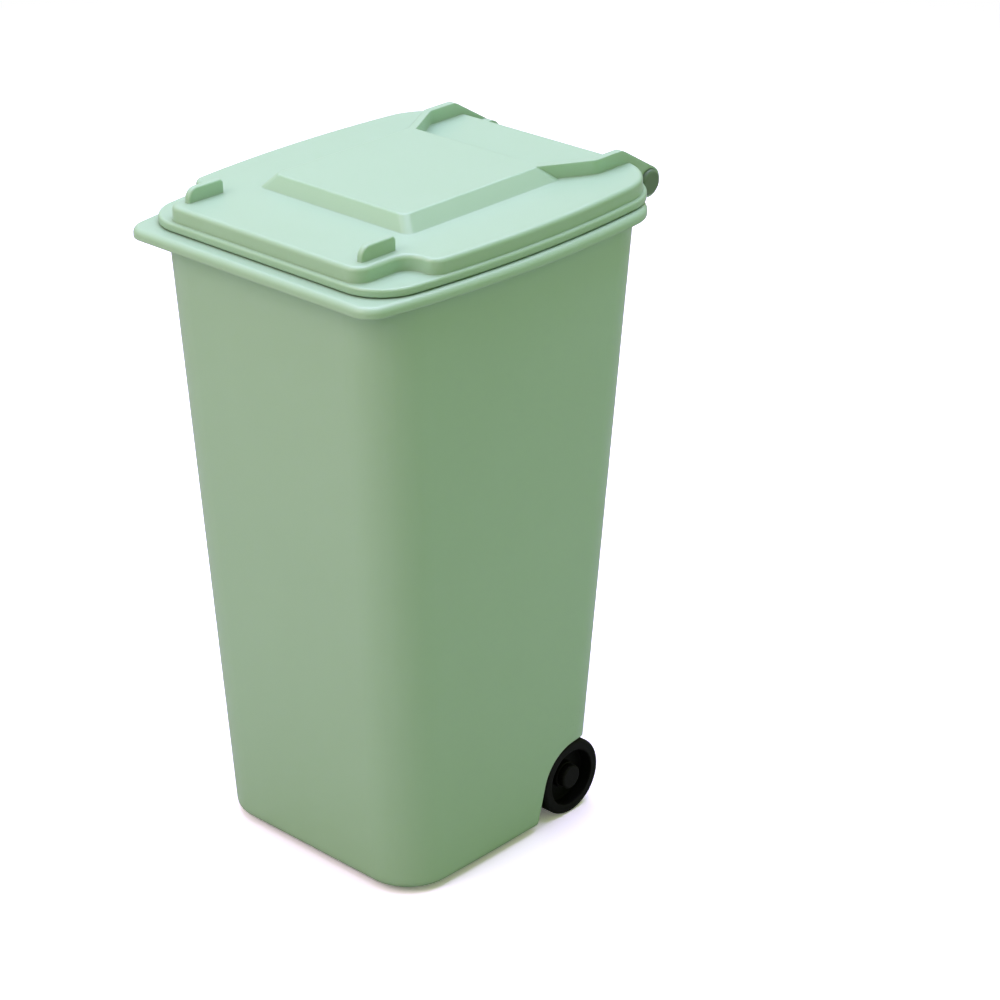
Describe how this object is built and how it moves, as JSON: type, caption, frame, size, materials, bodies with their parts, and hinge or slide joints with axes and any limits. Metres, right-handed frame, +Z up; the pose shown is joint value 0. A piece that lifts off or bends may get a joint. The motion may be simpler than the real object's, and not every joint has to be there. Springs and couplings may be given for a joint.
{
  "type": "desktop trash can",
  "caption": "Desk-top pen pot shaped like a wheelie bin: tapered open tub with wheels in arches at the rear, and a hinged lid that swings right over the back.",
  "frame": {"origin": "on the floor under the middle of the overall box", "axes": "+Z up, +Y towards the hinge and wheels, +X to the right seen from the front"},
  "size_m": [0.081, 0.101, 0.155],
  "materials": {
    "green_plastic": "satin moulded polypropylene, mint green",
    "pin_plastic": "moulded, slightly darker green",
    "black_plastic": "moulded black plastic",
    "steel": "plain drawn rod"
  },
  "bodies": {
    "base": {"tub": "green_plastic", "hinge_pins": "pin_plastic", "axle": "steel", "axle_caps": "black_plastic"},
    "lid": {"lid": "green_plastic"},
    "wheel_left": {"wheel_left": "black_plastic"},
    "wheel_right": {"wheel_right": "black_plastic"}
  },
  "joints": [
    {"name": "lid_hinge", "type": "hinge", "parent": "base", "child": "lid", "pos_m": [0, 0.047, 0.14555], "axis": [-1, 0, 0], "range_deg": [0, 268]},
    {"name": "wheel_left_spin", "type": "hinge", "parent": "base", "child": "wheel_left", "pos_m": [-0.0276, 0.0166, 0.0093], "axis": [1, 0, 0], "continuous": true},
    {"name": "wheel_right_spin", "type": "hinge", "parent": "base", "child": "wheel_right", "pos_m": [0.0276, 0.0166, 0.0093], "axis": [1, 0, 0], "continuous": true}
  ]
}
